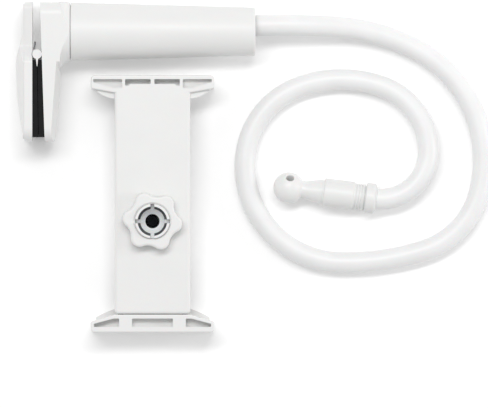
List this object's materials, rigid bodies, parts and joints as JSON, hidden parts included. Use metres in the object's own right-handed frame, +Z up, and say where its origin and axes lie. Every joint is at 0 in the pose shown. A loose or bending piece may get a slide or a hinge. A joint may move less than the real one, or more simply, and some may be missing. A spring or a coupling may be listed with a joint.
{
  "type": "gooseneck tablet stand",
  "caption": "Spring desk clamp with a grip, a long bendable arm laid in a spiral to a ball, and a sliding two-jaw tablet holder with its ball socket lying beside it.",
  "frame": {"origin": "on the table, under the middle of the whole set", "axes": "+X along the grip from the clamp to the arm, +Y from the clamp's jaw tips to its lever ends, +Z up from the table"},
  "size_m": [0.2625, 0.1815, 0.034],
  "materials": {
    "white_plastic": "moulded, satin gloss",
    "arm_plastic": "extruded, smooth",
    "grip_plastic": "moulded, satin",
    "grey_plastic": "moulded, matte",
    "black_rubber": "moulded, matte",
    "spring_steel": "drawn wire",
    "screw_steel": "black oxide",
    "soft_core": "drawn rod"
  },
  "bodies": {
    "stand": {"clamp_fixed_jaw": "white_plastic", "clamp_pivot_pin": "spring_steel", "clamp_spring": "spring_steel", "clamp_fixed_pad": "black_rubber", "grip_sleeve": "grip_plastic", "root_ferrule": "spring_steel", "root_grub_screw": "screw_steel", "arm_sleeve_01": "arm_plastic", "arm_core_01": "soft_core", "holder_back_shell": "white_plastic", "holder_front_shell": "white_plastic", "front_strips": "black_rubber", "fixed_jaw_strip": "black_rubber", "ball_collet": "white_plastic", "ball_seat_ring": "grey_plastic", "seat_screw": "screw_steel", "case_screws": "screw_steel", "return_springs": "spring_steel"},
    "clamp_jaw": {"clamp_moving_jaw": "white_plastic", "clamp_moving_pad": "black_rubber"},
    "lower_jaw": {"sliding_jaw": "white_plastic", "sliding_jaw_strip": "black_rubber"},
    "lock_nut": {"ball_lock_nut": "white_plastic"},
    "arm_link_02": {"arm_sleeve_02": "arm_plastic", "arm_core_02": "soft_core"},
    "arm_link_03": {"arm_sleeve_03": "arm_plastic", "arm_core_03": "soft_core"},
    "arm_link_04": {"arm_sleeve_04": "arm_plastic", "arm_core_04": "soft_core"},
    "arm_link_05": {"arm_sleeve_05": "arm_plastic", "arm_core_05": "soft_core"},
    "arm_link_06": {"arm_sleeve_06": "arm_plastic", "arm_core_06": "soft_core"},
    "arm_link_07": {"arm_sleeve_07": "arm_plastic", "arm_core_07": "soft_core"},
    "arm_link_08": {"arm_sleeve_08": "arm_plastic", "arm_core_08": "soft_core"},
    "arm_link_09": {"arm_sleeve_09": "arm_plastic", "arm_core_09": "soft_core"},
    "arm_link_10": {"arm_sleeve_10": "arm_plastic", "arm_core_10": "soft_core"},
    "arm_link_11": {"arm_sleeve_11": "arm_plastic", "arm_core_11": "soft_core"},
    "arm_link_12": {"arm_sleeve_12": "arm_plastic", "arm_core_12": "soft_core", "end_collar": "white_plastic", "end_housing": "white_plastic", "ball_stem": "white_plastic"}
  },
  "joints": [
    {"name": "clamp_opening", "type": "hinge", "parent": "stand", "child": "clamp_jaw", "pos_m": [-0.1197, 0.0618, 0.016], "axis": [0, 0, -1], "range_deg": [0, 26], "stiffness_Nm_per_rad": 2, "springref_deg": -34.38, "deforming": ["clamp_spring"]},
    {"name": "jaw_slide", "type": "slide", "parent": "stand", "child": "lower_jaw", "axis": [0, -1, 0], "range_m": [0, 0.075], "stiffness_N_per_m": 150, "springref_m": -0.08, "deforming": ["return_springs"]},
    {"name": "nut_turn", "type": "hinge", "parent": "stand", "child": "lock_nut", "pos_m": [-0.0565, -0.02975, 0.028], "axis": [0, 0, 1], "range_deg": [0, 270]},
    {"name": "arm_swing_01", "type": "hinge", "parent": "stand", "child": "arm_link_02", "pos_m": [0.04569, 0.07685, 0.0109], "axis": [0, 0, 1], "range_deg": [-8, 30]},
    {"name": "arm_lift_02", "type": "hinge", "parent": "arm_link_02", "child": "arm_link_03", "pos_m": [0.08926, 0.06419, 0.00572], "axis": [-0.4726, -0.8813, 0], "range_deg": [-30, 30]},
    {"name": "arm_swing_03", "type": "hinge", "parent": "arm_link_03", "child": "arm_link_04", "pos_m": [0.11976, 0.03079, 0.00572], "axis": [0, 0, 1], "range_deg": [-8, 30]},
    {"name": "arm_lift_04", "type": "hinge", "parent": "arm_link_04", "child": "arm_link_05", "pos_m": [0.12284, -0.01435, 0.00572], "axis": [-0.965, 0.2622, 0], "range_deg": [-30, 30]},
    {"name": "arm_swing_05", "type": "hinge", "parent": "arm_link_05", "child": "arm_link_06", "pos_m": [0.09215, -0.04613, 0.00572], "axis": [0, 0, 1], "range_deg": [-8, 30]},
    {"name": "arm_lift_06", "type": "hinge", "parent": "arm_link_06", "child": "arm_link_07", "pos_m": [0.04669, -0.05248, 0.00572], "axis": [0.0227, 0.9997, 0], "range_deg": [-30, 30]},
    {"name": "arm_swing_07", "type": "hinge", "parent": "arm_link_07", "child": "arm_link_08", "pos_m": [0.00639, -0.03309, 0.00572], "axis": [0, 0, 1], "range_deg": [-8, 27]},
    {"name": "arm_lift_08", "type": "hinge", "parent": "arm_link_08", "child": "arm_link_09", "pos_m": [-0.00478, 0.01009, 0.00572], "axis": [0.982, -0.1891, 0], "range_deg": [-30, 30]},
    {"name": "arm_swing_09", "type": "hinge", "parent": "arm_link_09", "child": "arm_link_10", "pos_m": [0.02367, 0.04382, 0.00572], "axis": [0, 0, 1], "range_deg": [-8, 17]},
    {"name": "arm_lift_10", "type": "hinge", "parent": "arm_link_10", "child": "arm_link_11", "pos_m": [0.06886, 0.04453, 0.00572], "axis": [-0.3223, -0.9466, 0], "range_deg": [-30, 30]},
    {"name": "arm_swing_11", "type": "hinge", "parent": "arm_link_11", "child": "arm_link_12", "pos_m": [0.09503, 0.00991, 0.00698], "axis": [0, 0, 1], "range_deg": [-8, 14]}
  ]
}
